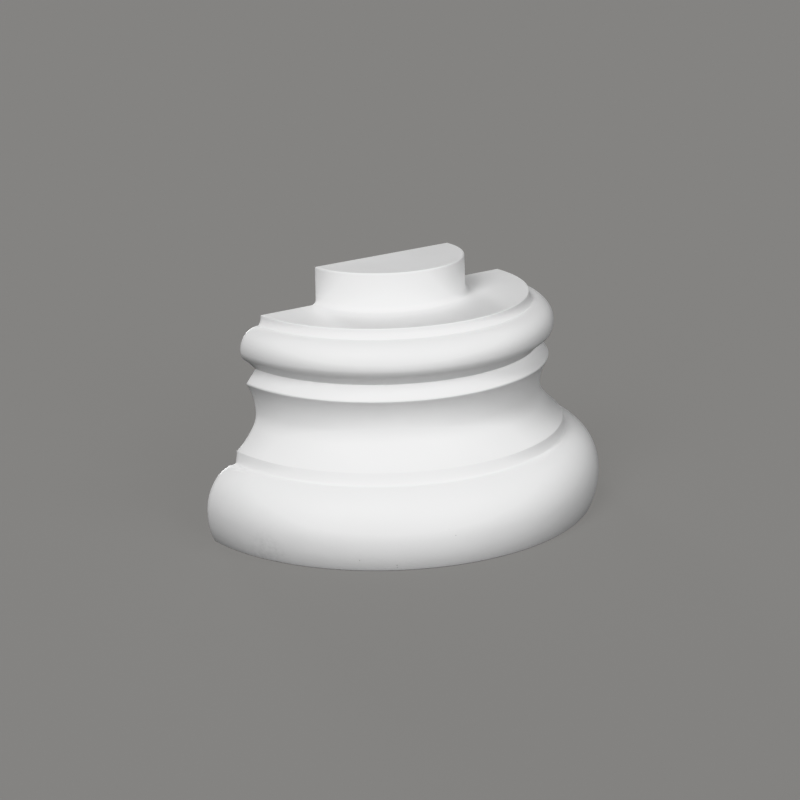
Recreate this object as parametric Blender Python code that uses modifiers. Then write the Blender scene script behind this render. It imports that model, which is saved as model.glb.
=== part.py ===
"""Base of a half column: a moulded half-round base with a flat back, cast in one piece.

Metres, +Z up. The part stands on z = 0. The flat back faces +Y and the moulding swells
towards -Y. The origin is in the middle of the underside's bounding box.
"""

import math

import bpy
import bmesh

# Main sizes. Heights are measured up from the underside, and radii out from the axis
# of the column, which lies in the plane of the flat back.
BASE_RADIUS = 0.170
DECK_HEIGHT = 0.1712
DECK_RADIUS = 0.1148
SPIGOT_HEIGHT = 0.0296

# Spigot on the deck, which goes up inside the hollow shaft.
SPIGOT_TOP_RADIUS = 0.0641
SPIGOT_FOOT_RADIUS = 0.0646
SPIGOT_EDGE_ROUND = 0.0012
SPIGOT_FOOT_FILLET = 0.0040

# Small hollow that runs from the deck's edge down to the upper torus.
DECK_EDGE_ROUND = 0.0008
APOPHYGE_RADIUS = 0.0097
APOPHYGE_DROP = 0.0012

# Upper torus: a round in section, cut short by a straight soffit that runs in to a quirk.
UPPER_TORUS_SECTION = 0.0167
UPPER_TORUS_CENTRE = 0.11735
UPPER_TORUS_HEIGHT = 0.1469
UPPER_TORUS_END = -27.0
QUIRK_RADIUS = 0.1222
QUIRK_HEIGHT = 0.1307

# Sloping band under the quirk, whose lower edge overhangs the scotia.
BAND_EDGE_RADIUS = 0.1303
BAND_EDGE_HEIGHT = 0.1197
BAND_EDGE_ROUND = 0.0018

# Scotia: one long arc above its throat and two below it.
THROAT_RADIUS = 0.1229
THROAT_HEIGHT = 0.0955
SCOTIA_UPPER_SWEEP = 0.0435
SCOTIA_LOWER_SWEEP = 0.020
SCOTIA_LOWER_TURN = 33.0
SCOTIA_FOOT_SWEEP = 0.0675
SCOTIA_FOOT_TURN = 52.0

# Lower listel between the scotia and the lower torus.
LISTEL_EDGE_ROUND = 0.0010
LISTEL_FOOT_RADIUS = 0.1429
LISTEL_FOOT_FILLET = 0.0016

# Lower torus: half an ellipse in section, fuller below its widest point than above.
LOWER_TORUS_SECTION = 0.0264
LOWER_TORUS_HEIGHT = 0.0246
LOWER_TORUS_RISE = 0.0338
LOWER_TORUS_DROP = 0.0402
UNDERSIDE_EDGE_ROUND = 0.0015

# How finely the curves are divided.
TURN_STEPS = 96
MERGE_DISTANCE = 0.00001
SHARP_ANGLE = math.radians(30.0)
CUTTER_MARGIN = 0.02

PART_NAME = "half_column_base"
AXIS_Y = BASE_RADIUS / 2
TOP_HEIGHT = DECK_HEIGHT + SPIGOT_HEIGHT


def clear_scene():
    for thing in list(bpy.data.objects):
        bpy.data.objects.remove(thing)


def make_collection(name):
    collection = bpy.data.collections.new(name)
    bpy.context.scene.collection.children.link(collection)
    return collection


def arc(centre, size, start, end, steps):
    """Points (radius, height) on an ellipse about centre, from start to end in degrees."""
    points = []
    for step in range(steps + 1):
        angle = math.radians(start + (end - start) * step / steps)
        points.append((centre[0] + size[0] * math.cos(angle),
                       centre[1] + size[1] * math.sin(angle)))
    return points


def rounded(before, corner, after, radius, steps):
    """The arc of the given radius that rounds a corner between two neighbouring points."""
    to_before = (before[0] - corner[0], before[1] - corner[1])
    to_after = (after[0] - corner[0], after[1] - corner[1])
    length_before = math.hypot(*to_before)
    length_after = math.hypot(*to_after)
    unit_before = (to_before[0] / length_before, to_before[1] / length_before)
    unit_after = (to_after[0] / length_after, to_after[1] / length_after)
    half_angle = math.acos(unit_before[0] * unit_after[0] + unit_before[1] * unit_after[1]) / 2
    setback = radius / math.tan(half_angle)
    middle = (unit_before[0] + unit_after[0], unit_before[1] + unit_after[1])
    reach = radius / math.sin(half_angle) / math.hypot(*middle)
    centre = (corner[0] + middle[0] * reach, corner[1] + middle[1] * reach)
    first = (corner[0] + unit_before[0] * setback, corner[1] + unit_before[1] * setback)
    last = (corner[0] + unit_after[0] * setback, corner[1] + unit_after[1] * setback)
    start = math.degrees(math.atan2(first[1] - centre[1], first[0] - centre[0]))
    end = math.degrees(math.atan2(last[1] - centre[1], last[0] - centre[0]))
    turn = (end - start + 180) % 360 - 180
    return arc(centre, (radius, radius), start, start + turn, steps)


def spigot_outline():
    """From the axis over the spigot's flat top and down its slightly drafted side."""
    top_axis = (0.0, TOP_HEIGHT)
    top_corner = (SPIGOT_TOP_RADIUS, TOP_HEIGHT)
    foot_corner = (SPIGOT_FOOT_RADIUS, DECK_HEIGHT)
    deck_edge = (DECK_RADIUS, DECK_HEIGHT)
    points = [top_axis]
    points += rounded(top_axis, top_corner, foot_corner, SPIGOT_EDGE_ROUND, 2)
    points += rounded(top_corner, foot_corner, deck_edge, SPIGOT_FOOT_FILLET, 3)
    return points


def deck_outline():
    """The deck's rounded edge and the small hollow under it."""
    points = arc((DECK_RADIUS - DECK_EDGE_ROUND, DECK_HEIGHT - DECK_EDGE_ROUND),
                 (DECK_EDGE_ROUND, DECK_EDGE_ROUND), 90, 0, 2)
    hollow_top = DECK_HEIGHT - APOPHYGE_DROP
    hollow_foot = UPPER_TORUS_HEIGHT + UPPER_TORUS_SECTION
    turn = math.degrees(math.asin((hollow_top - hollow_foot) / APOPHYGE_RADIUS))
    points += arc((DECK_RADIUS + APOPHYGE_RADIUS, hollow_top),
                  (APOPHYGE_RADIUS, APOPHYGE_RADIUS), 180, 180 + turn, 3)
    return points


def upper_torus_outline():
    return arc((UPPER_TORUS_CENTRE, UPPER_TORUS_HEIGHT),
               (UPPER_TORUS_SECTION, UPPER_TORUS_SECTION), 84, UPPER_TORUS_END, 12)


def scotia_upper_arc():
    """The long arc from the band's lower edge down to the throat."""
    centre = (THROAT_RADIUS + SCOTIA_UPPER_SWEEP, THROAT_HEIGHT)
    start = math.degrees(math.asin((BAND_EDGE_HEIGHT - THROAT_HEIGHT) / SCOTIA_UPPER_SWEEP))
    return arc(centre, (SCOTIA_UPPER_SWEEP, SCOTIA_UPPER_SWEEP), 180 - start, 180, 5)


def band_outline():
    """The quirk, the sloping band's rounded lower edge and the scotia down to its throat."""
    quirk = (QUIRK_RADIUS, QUIRK_HEIGHT)
    scotia = scotia_upper_arc()
    edge = rounded(quirk, (BAND_EDGE_RADIUS, BAND_EDGE_HEIGHT), scotia[1], BAND_EDGE_ROUND, 2)
    return [quirk] + edge + scotia[1:]


def scotia_lower_outline():
    """From the throat out to the listel: a short arc, then a long flat one."""
    centre = (THROAT_RADIUS + SCOTIA_LOWER_SWEEP, THROAT_HEIGHT)
    points = arc(centre, (SCOTIA_LOWER_SWEEP, SCOTIA_LOWER_SWEEP), 180, 180 + SCOTIA_LOWER_TURN, 4)
    turn = math.radians(SCOTIA_LOWER_TURN)
    change = SCOTIA_FOOT_SWEEP - SCOTIA_LOWER_SWEEP
    foot_centre = (centre[0] + change * math.cos(turn), centre[1] + change * math.sin(turn))
    points += arc(foot_centre, (SCOTIA_FOOT_SWEEP, SCOTIA_FOOT_SWEEP),
                  180 + SCOTIA_LOWER_TURN, 180 + SCOTIA_FOOT_TURN, 3)[1:]
    return points


def listel_outline():
    """The listel's rounded edge, its steep side and the fillet at its foot."""
    scotia = scotia_lower_outline()
    lower_torus = lower_torus_outline()
    foot = (LISTEL_FOOT_RADIUS, LOWER_TORUS_HEIGHT + LOWER_TORUS_RISE)
    points = rounded(scotia[-2], scotia[-1], foot, LISTEL_EDGE_ROUND, 2)
    points += rounded(scotia[-1], foot, lower_torus[1], LISTEL_FOOT_FILLET, 2)
    return points


def lower_torus_outline():
    """From the torus's top tangent out to its widest point and in to the underside."""
    centre = (BASE_RADIUS - LOWER_TORUS_SECTION, LOWER_TORUS_HEIGHT)
    upper = arc(centre, (LOWER_TORUS_SECTION, LOWER_TORUS_RISE), 90, 0, 9)
    cut = -math.degrees(math.asin(LOWER_TORUS_HEIGHT / LOWER_TORUS_DROP))
    lower = arc(centre, (LOWER_TORUS_SECTION, LOWER_TORUS_DROP), 0, cut, 3)
    edge = rounded(lower[-2], lower[-1], (0.0, 0.0), UNDERSIDE_EDGE_ROUND, 2)
    return upper + lower[1:-1] + edge + [(0.0, 0.0)]


def half_section():
    """The whole outline from the top of the axis round to the foot of the axis."""
    return (spigot_outline() + deck_outline() + upper_torus_outline() + band_outline()
            + scotia_lower_outline()[1:-1] + listel_outline() + lower_torus_outline()[1:])


def make_material():
    """White primer on dense foam: matt, with a very slight sheen."""
    material = bpy.data.materials.new("white_primed_polyurethane")
    material.use_nodes = True
    shader = material.node_tree.nodes["Principled BSDF"]
    shader.inputs["Base Color"].default_value = (0.86, 0.86, 0.86, 1.0)
    shader.inputs["Roughness"].default_value = 0.6
    shader.inputs["Metallic"].default_value = 0.0
    return material


def make_wall_cutter(collection):
    """A block over everything behind the axis, which leaves the flat back."""
    width = 2 * (BASE_RADIUS + CUTTER_MARGIN)
    depth = BASE_RADIUS + CUTTER_MARGIN
    height = TOP_HEIGHT + 2 * CUTTER_MARGIN
    mesh = bpy.data.meshes.new("wall_cutter")
    blank = bmesh.new()
    bmesh.ops.create_cube(blank, size=1.0)
    bmesh.ops.scale(blank, vec=(width, depth, height), verts=blank.verts)
    bmesh.ops.translate(blank, vec=(0.0, depth / 2, TOP_HEIGHT / 2), verts=blank.verts)
    blank.to_mesh(mesh)
    blank.free()
    cutter = bpy.data.objects.new("wall_cutter", mesh)
    cutter.location = (0.0, AXIS_Y, 0.0)
    cutter.hide_render = True
    cutter.display_type = "WIRE"
    collection.objects.link(cutter)
    return cutter


def make_base(collection, cutter):
    """Turns the half section about the axis and cuts the back off flat."""
    outline = half_section()
    mesh = bpy.data.meshes.new(PART_NAME)
    vertices = [(radius, 0.0, height) for radius, height in outline]
    edges = [(index, index + 1) for index in range(len(vertices) - 1)]
    mesh.from_pydata(vertices, edges, [])
    mesh.materials.append(make_material())
    base = bpy.data.objects.new(PART_NAME, mesh)
    base.location = (0.0, AXIS_Y, 0.0)
    collection.objects.link(base)

    turn = base.modifiers.new("turn", "SCREW")
    turn.axis = "Z"
    turn.angle = 2 * math.pi
    turn.steps = TURN_STEPS
    turn.render_steps = TURN_STEPS
    turn.use_merge_vertices = True
    turn.merge_threshold = MERGE_DISTANCE

    cut = base.modifiers.new("flat_back", "BOOLEAN")
    cut.operation = "DIFFERENCE"
    cut.solver = "EXACT"
    cut.object = cutter
    return base


def shade_smooth(base):
    """Puts the finished solid in the object, smooth along its curves and sharp at its edges."""
    depsgraph = bpy.context.evaluated_depsgraph_get()
    solid = bpy.data.meshes.new_from_object(base.evaluated_get(depsgraph))
    base.modifiers.clear()
    base.data = solid
    solid.shade_smooth()
    solid.set_sharp_from_angle(angle=SHARP_ANGLE)


def main():
    clear_scene()
    cutters = make_collection("cutters")
    parts = make_collection(PART_NAME)
    base = make_base(parts, make_wall_cutter(cutters))
    shade_smooth(base)


main()
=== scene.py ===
import math

import bpy
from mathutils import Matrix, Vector


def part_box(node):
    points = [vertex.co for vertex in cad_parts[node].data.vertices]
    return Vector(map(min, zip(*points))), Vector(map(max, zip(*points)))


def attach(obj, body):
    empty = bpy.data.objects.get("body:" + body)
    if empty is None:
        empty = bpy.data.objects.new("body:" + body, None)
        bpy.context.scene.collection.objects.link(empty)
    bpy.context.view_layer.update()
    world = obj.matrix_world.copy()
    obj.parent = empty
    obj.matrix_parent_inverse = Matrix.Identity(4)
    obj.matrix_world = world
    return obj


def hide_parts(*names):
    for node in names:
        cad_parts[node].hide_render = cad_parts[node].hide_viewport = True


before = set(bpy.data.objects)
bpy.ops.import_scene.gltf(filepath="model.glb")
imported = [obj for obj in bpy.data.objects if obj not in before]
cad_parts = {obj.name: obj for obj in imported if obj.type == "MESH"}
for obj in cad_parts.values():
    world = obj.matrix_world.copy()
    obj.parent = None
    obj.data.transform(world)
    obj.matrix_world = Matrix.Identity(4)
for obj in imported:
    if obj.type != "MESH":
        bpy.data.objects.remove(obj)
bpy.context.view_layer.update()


# The casting: the base of a half column, cast in one piece in dense polyurethane foam and
# primed white. Its flat back goes against the wall, and the hollow shaft goes down over the
# half-round spigot on its deck. Every edge of the mould is slightly eased.

# Lengths are in metres and angles in degrees. A radius is from the column's axis, which
# stands in the flat back, and a height is from the floor. A point is (radius, height).
top_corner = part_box("half_column_base")[1]
base_radius = top_corner.x
column_axis = (0.0, top_corner.y, 0.0)
top_height = top_corner.z

deck_height = 0.1712
deck_radius = 0.1148
deck_edge_ease = 0.0008
spigot_top_radius = 0.0641
spigot_foot_radius = 0.0646
spigot_edge_ease = 0.0012
spigot_foot_fillet = 0.0040
hollow_sweep = 0.0097
hollow_drop = 0.0012

upper_torus_centre = (0.11735, 0.1469)
upper_torus_section = 0.0167
upper_torus_start = 88.0
upper_torus_end = -8.0
lip_section = 0.0092
lip_end = -48.0
under_lip = (0.1278, 0.1368)
under_lip_ease = 0.0006
quirk = (0.1211, 0.1302)
quirk_ease = 0.0004

band_edge = (0.1303, 0.1197)
band_edge_ease = 0.0018
throat = (0.1229, 0.0955)
scotia_upper_sweep = 0.0435
scotia_lower_sweep = 0.0200
scotia_lower_turn = 33.0
scotia_foot_sweep = 0.0675
scotia_foot_turn = 52.0
listel_edge_ease = 0.0010
listel_foot_radius = 0.1429
listel_foot_fillet = 0.0016
scotia_points_left_out = 2

lower_torus_section = 0.0264
lower_torus_height = 0.0246
lower_torus_rise = 0.0338
lower_torus_drop = 0.0402
lower_torus_points_left_out = 3
underside_edge_ease = 0.0015
underside_centre = (0.0, 0.0)

turn_steps = 192
straight_run = 0.0025
holding_ring = 0.0004
clear_of_axis = 0.0008
weld_distance = 0.00002
back_edge_eases = ((0.00012, 0.00028), (0.00028, 0.00012))
back_holding_ring = 0.0003
smooth_angle = 28.0


def arc(centre, size, start, end, steps):
    """Points (radius, height) along an oval about centre, between two angles."""
    angles = [math.radians(start + (end - start) * step / steps) for step in range(steps + 1)]
    return [(centre[0] + size[0] * math.cos(angle), centre[1] + size[1] * math.sin(angle))
            for angle in angles]


def ease(before, corner, after, radius, steps):
    """The small arc that takes the sharpness off a corner between its two neighbours."""
    to_before = (Vector(before) - Vector(corner)).normalized()
    to_after = (Vector(after) - Vector(corner)).normalized()
    half_angle = to_before.angle(to_after) / 2
    centre = Vector(corner) + (to_before + to_after).normalized() * (radius / math.sin(half_angle))
    first = Vector(corner) + to_before * (radius / math.tan(half_angle)) - centre
    last = Vector(corner) + to_after * (radius / math.tan(half_angle)) - centre
    start = math.degrees(math.atan2(first.y, first.x))
    turn = (math.degrees(math.atan2(last.y, last.x)) - start + 180) % 360 - 180
    return arc(centre, (radius, radius), start, start + turn, steps)


def upper_torus_curve():
    """The upper torus, which rolls under in a tighter lip before the soffit of the groove."""
    section = (upper_torus_section, upper_torus_section)
    round_part = arc(upper_torus_centre, section, upper_torus_start, upper_torus_end, steps=34)
    inward = upper_torus_section - lip_section
    sink = math.radians(upper_torus_end)
    lip_centre = (upper_torus_centre[0] + inward * math.cos(sink),
                  upper_torus_centre[1] + inward * math.sin(sink))
    lip = arc(lip_centre, (lip_section, lip_section), upper_torus_end, lip_end, steps=14)
    return round_part + lip[1:]


def scotia_curve():
    """From the band's edge down to the throat, and out again to the listel, in three sweeps."""
    rise = math.degrees(math.asin((band_edge[1] - throat[1]) / scotia_upper_sweep))
    above = arc((throat[0] + scotia_upper_sweep, throat[1]),
                (scotia_upper_sweep, scotia_upper_sweep), 180 - rise, 180, steps=26)
    centre = (throat[0] + scotia_lower_sweep, throat[1])
    below = arc(centre, (scotia_lower_sweep, scotia_lower_sweep),
                180, 180 + scotia_lower_turn, steps=14)
    turn = math.radians(scotia_lower_turn)
    change = scotia_foot_sweep - scotia_lower_sweep
    foot_centre = (centre[0] + change * math.cos(turn), centre[1] + change * math.sin(turn))
    foot = arc(foot_centre, (scotia_foot_sweep, scotia_foot_sweep),
               180 + scotia_lower_turn, 180 + scotia_foot_turn, steps=14)
    return above + below[1:] + foot[1:]


def lower_torus_curve():
    """The fat lower torus from its top tangent to the rim of the underside."""
    centre = (base_radius - lower_torus_section, lower_torus_height)
    above = arc(centre, (lower_torus_section, lower_torus_rise), 90, 0, steps=32)
    cut = -math.degrees(math.asin(lower_torus_height / lower_torus_drop))
    below = arc(centre, (lower_torus_section, lower_torus_drop), 0, cut, steps=16)
    rim = ease(below[-2], below[-1], underside_centre, underside_edge_ease, steps=6)
    return above + below[1:-1] + rim


# The outline runs from the axis on the spigot's top, down over the mouldings, and back to
# the axis on the floor. The scotia and the lower torus leave out their first points, where
# the eased edge of the band and the fillet at the listel's foot take their place.
spigot_top = (0.0, top_height)
spigot_corner = (spigot_top_radius, top_height)
spigot_foot = (spigot_foot_radius, deck_height)
deck_corner = (deck_radius, deck_height)
upper_torus = upper_torus_curve()
hollow_top = deck_height - hollow_drop
hollow_turn = math.degrees(math.asin((hollow_top - upper_torus[0][1]) / hollow_sweep))
scotia = scotia_curve()[scotia_points_left_out:]
listel_edge = scotia[-1]
listel_foot = (listel_foot_radius, lower_torus_height + lower_torus_rise)
lower_torus = lower_torus_curve()[lower_torus_points_left_out:]

outline = [spigot_top]
outline += ease(spigot_top, spigot_corner, spigot_foot, spigot_edge_ease, steps=6)
outline += ease(spigot_corner, spigot_foot, deck_corner, spigot_foot_fillet, steps=8)
outline += arc((deck_radius - deck_edge_ease, deck_height - deck_edge_ease),
               (deck_edge_ease, deck_edge_ease), 90, 0, steps=5)
outline += arc((deck_radius + hollow_sweep, hollow_top), (hollow_sweep, hollow_sweep),
               180, 180 + hollow_turn, steps=9)
outline += upper_torus
outline += ease(upper_torus[-1], under_lip, quirk, under_lip_ease, steps=4)
outline += ease(under_lip, quirk, band_edge, quirk_ease, steps=5)
outline += ease(quirk, band_edge, scotia[0], band_edge_ease, steps=8)
outline += scotia[:-1]
outline += ease(scotia[-2], listel_edge, listel_foot, listel_edge_ease, steps=5)
outline += ease(listel_edge, listel_foot, lower_torus[0], listel_foot_fillet, steps=6)
outline += lower_torus
outline += [underside_centre]

# Each long straight run has a ring close to either end, so that it stays flat to the light
# between its eased edges. There is none at the axis, where a flat face has no edge.
corners = outline
outline = corners[:1]
for start, end in zip(corners, corners[1:]):
    run = Vector(end) - Vector(start)
    if run.length > straight_run:
        step = run.normalized() * holding_ring
        rings = (Vector(start) + step, Vector(end) - step)
        outline += [tuple(ring) for ring in rings if ring.x > clear_of_axis]
    outline.append(end)

# A small plane is merged to the outline's first point. From there the outline is drawn point
# by point in the plane of the flat back, to the right of the axis, and then turned half way
# round it.
bpy.ops.object.select_all(action="DESELECT")
bpy.ops.mesh.primitive_plane_add(size=0.01, location=(0.0, column_axis[1], top_height))
casting = bpy.context.object
casting.name = "half_column_base_casting"
bpy.ops.object.transform_apply(location=True, rotation=True, scale=True)
bpy.ops.object.mode_set(mode="EDIT")
bpy.ops.mesh.select_all(action="SELECT")
bpy.ops.mesh.merge(type="CENTER")
for before, after in zip(outline, outline[1:]):
    step = (after[0] - before[0], 0.0, after[1] - before[1])
    bpy.ops.mesh.extrude_vertices_move(TRANSFORM_OT_translate={"value": step})
bpy.ops.mesh.select_all(action="SELECT")
bpy.ops.mesh.spin(steps=turn_steps, angle=math.pi, center=column_axis, axis=(0.0, 0.0, 1.0))
bpy.ops.mesh.select_all(action="SELECT")
bpy.ops.mesh.remove_doubles(threshold=weld_distance)

# The flat back closes the open side. Its edge is eased in two small steps, and a ring
# inside them keeps it flat to the light.
bpy.ops.mesh.select_all(action="DESELECT")
bpy.ops.mesh.select_mode(type="EDGE")
bpy.ops.mesh.select_non_manifold(extend=False)
back_ease = sum(backward for inward, backward in back_edge_eases)
bpy.ops.transform.translate(value=(0.0, -back_ease, 0.0))
bpy.ops.mesh.edge_face_add()
bpy.ops.mesh.select_mode(type="FACE")
for inward, backward in back_edge_eases:
    bpy.ops.mesh.inset(thickness=inward, use_even_offset=True)
    bpy.ops.transform.translate(value=(0.0, backward, 0.0))
bpy.ops.mesh.inset(thickness=back_holding_ring, use_even_offset=True)
bpy.ops.mesh.select_all(action="SELECT")
bpy.ops.mesh.normals_make_consistent(inside=False)
bpy.ops.object.mode_set(mode="OBJECT")
bpy.ops.object.shade_smooth_by_angle(angle=math.radians(smooth_angle))

# The primer is a matt white coat sprayed into the mould ahead of the foam, with a fine grain,
# a faint unevenness of tone and sheen, and a few pinholes near the foot where air stood in
# the mould. The back and the underside are primed afterwards and rubbed flat.
primer_white = (0.90, 0.90, 0.90, 1.0)
# This grey is painted shade in the pinholes and on the patch by the foot, and the rubbing strokes'
# own tone.
painted_shade_and_stroke_grey = (0.68, 0.68, 0.68, 1.0)
millimetre = 0.001


def new_group(name, inputs, outputs):
    """An empty node group with its named sockets, and its two end nodes."""
    group = bpy.data.node_groups.new(name, "ShaderNodeTree")
    for kind, label in inputs:
        group.interface.new_socket(name=label, in_out="INPUT", socket_type=kind)
    for kind, label in outputs:
        group.interface.new_socket(name=label, in_out="OUTPUT", socket_type=kind)
    return group, group.nodes.new("NodeGroupInput"), group.nodes.new("NodeGroupOutput")


def join(tree, value, socket):
    """Put a number, a colour, a place or another node's output on a socket."""
    if isinstance(value, bpy.types.NodeSocket):
        tree.links.new(value, socket)
    else:
        socket.default_value = value


def calculate(tree, operation, *values):
    """One step of arithmetic on numbers and other nodes' outputs."""
    node = tree.nodes.new("ShaderNodeMath")
    node.operation = operation
    for value, socket in zip(values, node.inputs):
        join(tree, value, socket)
    return node.outputs["Value"]


def noise(tree, position, scale, detail):
    """Noise centred on nought, from about -0.5 to 0.5."""
    node = tree.nodes.new("ShaderNodeTexNoise")
    node.inputs["Scale"].default_value = scale
    node.inputs["Detail"].default_value = detail
    tree.links.new(position, node.inputs["Vector"])
    return calculate(tree, "SUBTRACT", node.outputs["Fac"], 0.5)


def fade(tree, value, empty, full):
    """A soft mask: nought where value is empty, one where it is full."""
    node = tree.nodes.new("ShaderNodeMapRange")
    node.interpolation_type = "SMOOTHSTEP"
    join(tree, value, node.inputs["Value"])
    join(tree, empty, node.inputs["From Min"])
    join(tree, full, node.inputs["From Max"])
    return node.outputs["Result"]


def shade(tree, colour, strength):
    """A colour made lighter or darker by a factor."""
    node = tree.nodes.new("ShaderNodeVectorMath")
    node.operation = "SCALE"
    join(tree, colour, node.inputs["Vector"])
    tree.links.new(strength, node.inputs["Scale"])
    return node.outputs["Vector"]


# The primer itself: clouds of tone, patches of sheen, a slow ripple and the spray's grain.
primer_skin, skin_in, skin_out = new_group(
    "primer_skin",
    [("NodeSocketVector", "Position"), ("NodeSocketColor", "Colour"),
     ("NodeSocketFloat", "Tone Change"), ("NodeSocketFloat", "Roughness"),
     ("NodeSocketFloat", "Sheen Change"), ("NodeSocketFloat", "Ripple mm"),
     ("NodeSocketFloat", "Grain mm")],
    [("NodeSocketColor", "Colour"), ("NodeSocketFloat", "Roughness"),
     ("NodeSocketFloat", "Height mm")])


def primer_layer(scale, detail, strength):
    """One layer of the primer's noise, as strong as the group's named input says."""
    layer = noise(primer_skin, skin_in.outputs["Position"], scale, detail)
    return calculate(primer_skin, "MULTIPLY", layer, skin_in.outputs[strength])


broad_clouds = primer_layer(scale=9.0, detail=3.0, strength="Tone Change")
small_clouds = primer_layer(scale=45.0, detail=4.0, strength="Tone Change")
clouds = calculate(primer_skin, "ADD", broad_clouds, small_clouds)
tone = calculate(primer_skin, "ADD", clouds, 1.0)
colour = shade(primer_skin, skin_in.outputs["Colour"], tone)
primer_skin.links.new(colour, skin_out.inputs["Colour"])
sheen = primer_layer(scale=28.0, detail=4.0, strength="Sheen Change")
roughness = calculate(primer_skin, "ADD", sheen, skin_in.outputs["Roughness"])
primer_skin.links.new(roughness, skin_out.inputs["Roughness"])
ripple = primer_layer(scale=60.0, detail=1.0, strength="Ripple mm")
grain = primer_layer(scale=1500.0, detail=2.0, strength="Grain mm")
rise = calculate(primer_skin, "ADD", ripple, grain)
primer_skin.links.new(rise, skin_out.inputs["Height mm"])

# Pinholes: each cell of the pattern may hold one, of its own size, and full at its bottom.
smallest_pinhole = 0.4
pinhole_bottom = 0.4
pinholes, pin_in, pin_out = new_group(
    "pinholes",
    [("NodeSocketVector", "Position"), ("NodeSocketFloat", "Spacing"),
     ("NodeSocketFloat", "Radius"), ("NodeSocketFloat", "Share")],
    [("NodeSocketFloat", "Mask")])
cells = pinholes.nodes.new("ShaderNodeTexVoronoi")
pinholes.links.new(pin_in.outputs["Position"], cells.inputs["Vector"])
join(pinholes, calculate(pinholes, "DIVIDE", 1.0, pin_in.outputs["Spacing"]), cells.inputs["Scale"])
chance = pinholes.nodes.new("ShaderNodeSeparateColor")
pinholes.links.new(cells.outputs["Color"], chance.inputs["Color"])
away = calculate(pinholes, "MULTIPLY", cells.outputs["Distance"], pin_in.outputs["Spacing"])
size = calculate(pinholes, "MULTIPLY", pin_in.outputs["Radius"],
                 calculate(pinholes, "MULTIPLY_ADD", chance.outputs["Green"],
                           1.0 - smallest_pinhole, smallest_pinhole))
hole = fade(pinholes, away, size, calculate(pinholes, "MULTIPLY", size, pinhole_bottom))
opened = calculate(pinholes, "LESS_THAN", chance.outputs["Red"], pin_in.outputs["Share"])
pinholes.links.new(calculate(pinholes, "MULTIPLY", hole, opened), pin_out.inputs["Mask"])

# A single round mark at a place of its own, full at its core and gone at its radius.
mark_core = 0.35
single_mark, mark_in, mark_out = new_group(
    "single_mark",
    [("NodeSocketVector", "Position"), ("NodeSocketVector", "Place"),
     ("NodeSocketFloat", "Radius")],
    [("NodeSocketFloat", "Mask")])
reach = single_mark.nodes.new("ShaderNodeVectorMath")
reach.operation = "DISTANCE"
single_mark.links.new(mark_in.outputs["Position"], reach.inputs[0])
single_mark.links.new(mark_in.outputs["Place"], reach.inputs[1])
core = calculate(single_mark, "MULTIPLY", mark_in.outputs["Radius"], mark_core)
single_mark.links.new(fade(single_mark, reach.outputs["Value"], mark_in.outputs["Radius"], core),
                      mark_out.inputs["Mask"])

# The grey laid over the primer's colour: painted shade in the pinholes and on the patch, and the
# rubbing strokes' own tone.
greying, grey_in, grey_out = new_group(
    "greying",
    [("NodeSocketColor", "Colour"), ("NodeSocketColor", "Grey"), ("NodeSocketFloat", "Mask")],
    [("NodeSocketColor", "Colour")])
blend = greying.nodes.new("ShaderNodeMix")
blend.data_type = "RGBA"
below, above = [socket for socket in blend.inputs if socket.type == "RGBA"]
blended = [socket for socket in blend.outputs if socket.type == "RGBA"][0]
greying.links.new(grey_in.outputs["Mask"], blend.inputs["Factor"])
greying.links.new(grey_in.outputs["Colour"], below)
greying.links.new(grey_in.outputs["Grey"], above)
greying.links.new(blended, grey_out.inputs["Colour"])


def use_group(tree, group, **values):
    """Place a group in a material, with the material's own values on its inputs."""
    node = tree.nodes.new("ShaderNodeGroup")
    node.node_tree = group
    for label, value in values.items():
        join(tree, value, node.inputs[label.replace("_", " ")])
    return node.outputs


def new_material(name):
    """A material, its node tree, and the place on the piece that its patterns read."""
    material = bpy.data.materials.new(name)
    material.use_nodes = True
    tree = material.node_tree
    return material, tree, tree.nodes.new("ShaderNodeTexCoord").outputs["Object"]


def on_foot(angle, height):
    """The place on the lower torus at a height, and an angle from straight ahead."""
    swell = math.sqrt(1 - ((height - lower_torus_height) / lower_torus_drop) ** 2)
    radius = base_radius - lower_torus_section + lower_torus_section * swell
    turn = math.radians(angle)
    return (radius * math.sin(turn), column_axis[1] - radius * math.cos(turn), height)


def finish(tree, colour, roughness, height_mm):
    """Lead colour, roughness and the surface's height to the material's shader."""
    shader = tree.nodes["Principled BSDF"]
    bump = tree.nodes.new("ShaderNodeBump")
    bump.inputs["Distance"].default_value = millimetre
    tree.links.new(height_mm, bump.inputs["Height"])
    tree.links.new(bump.outputs["Normal"], shader.inputs["Normal"])
    tree.links.new(colour, shader.inputs["Base Color"])
    tree.links.new(roughness, shader.inputs["Roughness"])


# The moulded face: pinholes only low down, a few that stand out, and a nib of primer above
# one of them; the pinholes are greyed with painted shade. A patch by the left end is a little
# rough and speckled, and greyed with painted shade. Each pinhole that stands out has its
# angle from straight ahead, its height and its radius.
foot_band_top = 0.034
foot_band_fade = 0.030
pinhole_depth_mm = 0.15
pinhole_roughening = 0.2
standing_pinholes = ((-42.8, 0.0097, 0.00065), (-33.3, 0.0031, 0.00060),
                     (-33.4, 0.0052, 0.00070), (-18.5, 0.0260, 0.00060))
nib_place = on_foot(-20.0, 0.0319)
nib_height_mm = 0.12
patch_place = on_foot(-68.0, 0.0070)
# The patch's even grey is painted shade on the foot's left end.
patch_shade_greying = 0.14
speckle_height_mm = 0.12

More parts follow.
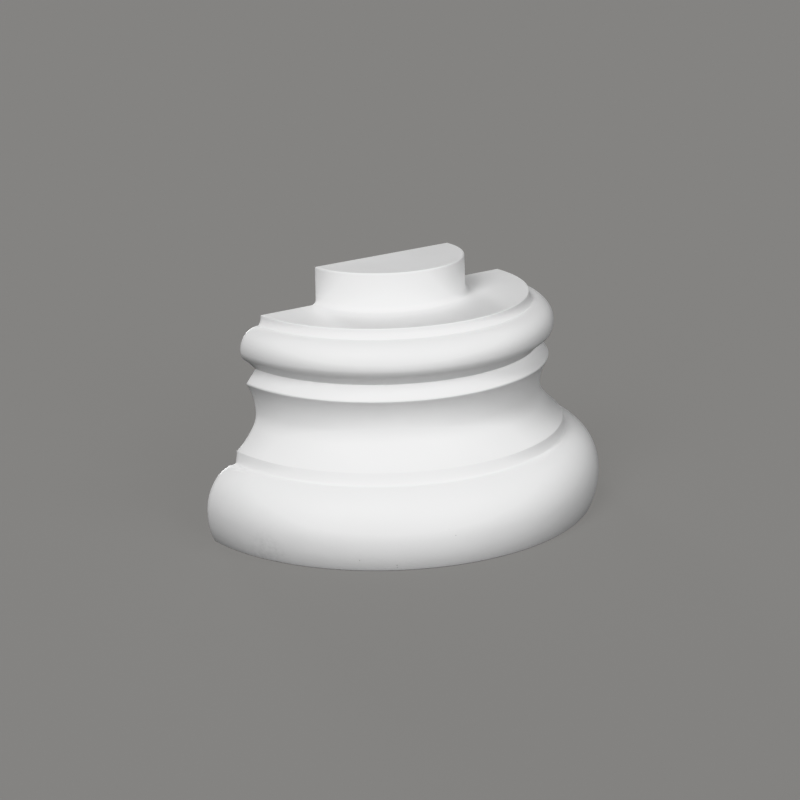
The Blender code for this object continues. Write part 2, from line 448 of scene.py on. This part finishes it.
moulded, tree, position = new_material("white_primer")
skin = use_group(tree, primer_skin, Position=position, Colour=primer_white, Tone_Change=0.03,
                 Roughness=0.52, Sheen_Change=0.16, Ripple_mm=0.03, Grain_mm=0.0025)
height = tree.nodes.new("ShaderNodeSeparateXYZ")
tree.links.new(position, height.inputs["Vector"])
low_down = fade(tree, height.outputs["Z"], foot_band_top, foot_band_top - foot_band_fade)
small = use_group(tree, pinholes, Position=position, Spacing=0.0065, Radius=0.0004, Share=0.22)
holes = calculate(tree, "MULTIPLY", small["Mask"], low_down)
for angle, mark_height, radius in standing_pinholes:
    place = on_foot(angle, mark_height)
    mark = use_group(tree, single_mark, Position=position, Place=place, Radius=radius)
    holes = calculate(tree, "MAXIMUM", holes, mark["Mask"])
nib = use_group(tree, single_mark, Position=position, Place=nib_place, Radius=0.0009)
patch = use_group(tree, single_mark, Position=position, Place=patch_place, Radius=0.022)
speckle = calculate(tree, "MULTIPLY", noise(tree, position, scale=260.0, detail=3.0), patch["Mask"])
rise = calculate(tree, "MULTIPLY_ADD", nib["Mask"], nib_height_mm, skin["Height mm"])
rise = calculate(tree, "MULTIPLY_ADD", speckle, speckle_height_mm, rise)
rise = calculate(tree, "MULTIPLY_ADD", holes, -pinhole_depth_mm, rise)
matt = calculate(tree, "MULTIPLY_ADD", holes, pinhole_roughening, skin["Roughness"])
# Painted shade: the patch is greyed evenly, with a speckled mottle over it, and the pinholes are
# greyed as shade in their pits.
patch_shade_and_mottle = calculate(tree, "MULTIPLY_ADD", patch["Mask"], patch_shade_greying, speckle)
grey_share = calculate(tree, "MAXIMUM", holes, patch_shade_and_mottle)
greyed = use_group(tree, greying, Colour=skin["Colour"], Grey=painted_shade_and_stroke_grey, Mask=grey_share)
finish(tree, greyed["Colour"], matt, rise)
casting.data.materials.append(moulded)

# The flat back and the underside: the strokes of the rubbing run along the wall, and the
# pinholes that it opened are larger.
stroke_stretch = (14.0, 900.0, 900.0)
stroke_height_mm = 0.02
stroke_roughening = 0.15
stroke_greying = 0.6

rubbed, tree, position = new_material("rubbed_primer")
skin = use_group(tree, primer_skin, Position=position, Colour=primer_white, Tone_Change=0.06,
                 Roughness=0.64, Sheen_Change=0.2, Ripple_mm=0.03, Grain_mm=0.008)
large = use_group(tree, pinholes, Position=position, Spacing=0.0090, Radius=0.0009, Share=0.30)
along = tree.nodes.new("ShaderNodeMapping")
along.inputs["Scale"].default_value = stroke_stretch
tree.links.new(position, along.inputs["Vector"])
strokes = noise(tree, along.outputs["Vector"], scale=1.0, detail=3.0)
rise = calculate(tree, "MULTIPLY_ADD", strokes, stroke_height_mm, skin["Height mm"])
rise = calculate(tree, "MULTIPLY_ADD", large["Mask"], -pinhole_depth_mm, rise)
matt = calculate(tree, "MULTIPLY_ADD", strokes, stroke_roughening, skin["Roughness"])
# The strokes' grey is the rubbing's own tone; the large pinholes' grey is painted shade in them.
streaks = calculate(tree, "MULTIPLY", strokes, stroke_greying)
grey_share = calculate(tree, "MAXIMUM", large["Mask"], streaks)
greyed = use_group(tree, greying, Colour=skin["Colour"], Grey=painted_shade_and_stroke_grey, Mask=grey_share)
finish(tree, greyed["Colour"], matt, rise)
casting.data.materials.append(rubbed)

# A face that lies within two degrees of the back's plane or the underside's is rubbed.
flat_face = math.cos(math.radians(2.0))
bpy.ops.object.mode_set(mode="EDIT")
bpy.ops.mesh.select_all(action="DESELECT")
bpy.ops.object.mode_set(mode="OBJECT")
for face in casting.data.polygons:
    face.select = face.normal.y > flat_face or face.normal.z < -flat_face
bpy.ops.object.mode_set(mode="EDIT")
casting.active_material_index = 1
bpy.ops.object.material_slot_assign()
bpy.ops.object.mode_set(mode="OBJECT")

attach(casting, "root")
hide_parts("half_column_base")


# The floor: a wide sheet of mid grey studio paper, lying flat under the casting. Its even
# light from end to end is a glow of its own, so the casting's shadow on it is faint. It
# throws no light back onto the casting.

floor_width = 40.0
paper_tint = (1.000, 0.985, 0.963)
paper_white = 0.06
paper_glow = 0.275
fibre_contrast = 0.02

bpy.ops.object.select_all(action="DESELECT")
bpy.ops.mesh.primitive_plane_add(size=floor_width, location=(0.0, 0.0, 0.0))
floor = bpy.context.object
floor.name = "floor"
floor.visible_diffuse = False
floor.visible_glossy = False
paper, tree, position = new_material("grey_paper")
shader = tree.nodes["Principled BSDF"]
shader.inputs["Specular IOR Level"].default_value = 0.0
shader.inputs["Roughness"].default_value = 0.9
shader.inputs["Emission Strength"].default_value = 1.0
paper.cycles.emission_sampling = "NONE"
fibres = noise(tree, position, scale=700.0, detail=3.0)
fibres = calculate(tree, "MULTIPLY_ADD", fibres, fibre_contrast, 1.0)
for label, share in (("Base Color", paper_white), ("Emission Color", paper_glow)):
    grey = [part * share for part in paper_tint]
    tree.links.new(shade(tree, grey, fibres), shader.inputs[label])
floor.data.materials.append(paper)


# The lights and the camera: a tall bank of soft boxes stands to the left of the camera, from
# near the floor to high up, with one to its right, one further round to the right, and a
# low one behind. The room around is black, so these lights alone model the casting.

box_spread = 25.0
narrow_spread = 12.0
camera_place = (-0.8616, -1.1501, 0.5472)
camera_tilt = 72.7812
camera_roll = 1.3308
camera_heading = -35.7206
camera_reach = 200.0
film_width_mm = 36.0
lens_mm = 88.2


def soft_light(name, azimuth, elevation, spread, strength):
    """A far soft box, at an azimuth from straight ahead and an elevation."""
    bpy.ops.object.light_add(type="SUN")
    light = bpy.context.object
    light.name = name
    light.data.angle = math.radians(spread)
    light.data.energy = strength
    light.rotation_euler = (math.radians(90 - elevation), 0.0, math.radians(azimuth))


soft_light("left_low", azimuth=-65.0, elevation=8.0, spread=box_spread, strength=0.77)
soft_light("left", azimuth=-65.0, elevation=40.0, spread=box_spread, strength=1.13)
soft_light("left_high", azimuth=-65.0, elevation=60.0, spread=box_spread, strength=0.60)
soft_light("right", azimuth=-5.0, elevation=24.0, spread=box_spread, strength=1.18)
soft_light("right_side", azimuth=25.0, elevation=40.0, spread=box_spread, strength=0.82)
soft_light("behind", azimuth=165.0, elevation=5.0, spread=narrow_spread, strength=2.70)

bpy.ops.object.camera_add(location=camera_place)
camera = bpy.context.object
camera.rotation_euler = [math.radians(turn) for turn in (camera_tilt, camera_roll, camera_heading)]
camera.data.sensor_width = film_width_mm
camera.data.lens = lens_mm
camera.data.clip_end = camera_reach
bpy.context.scene.camera = camera

world = bpy.data.worlds.new("studio")
bpy.context.scene.world = world
world.use_nodes = True
world.node_tree.nodes["Background"].inputs["Strength"].default_value = 0.0
bpy.context.scene.view_settings.view_transform = "Khronos PBR Neutral"
bpy.context.scene.view_settings.gamma = 0.85
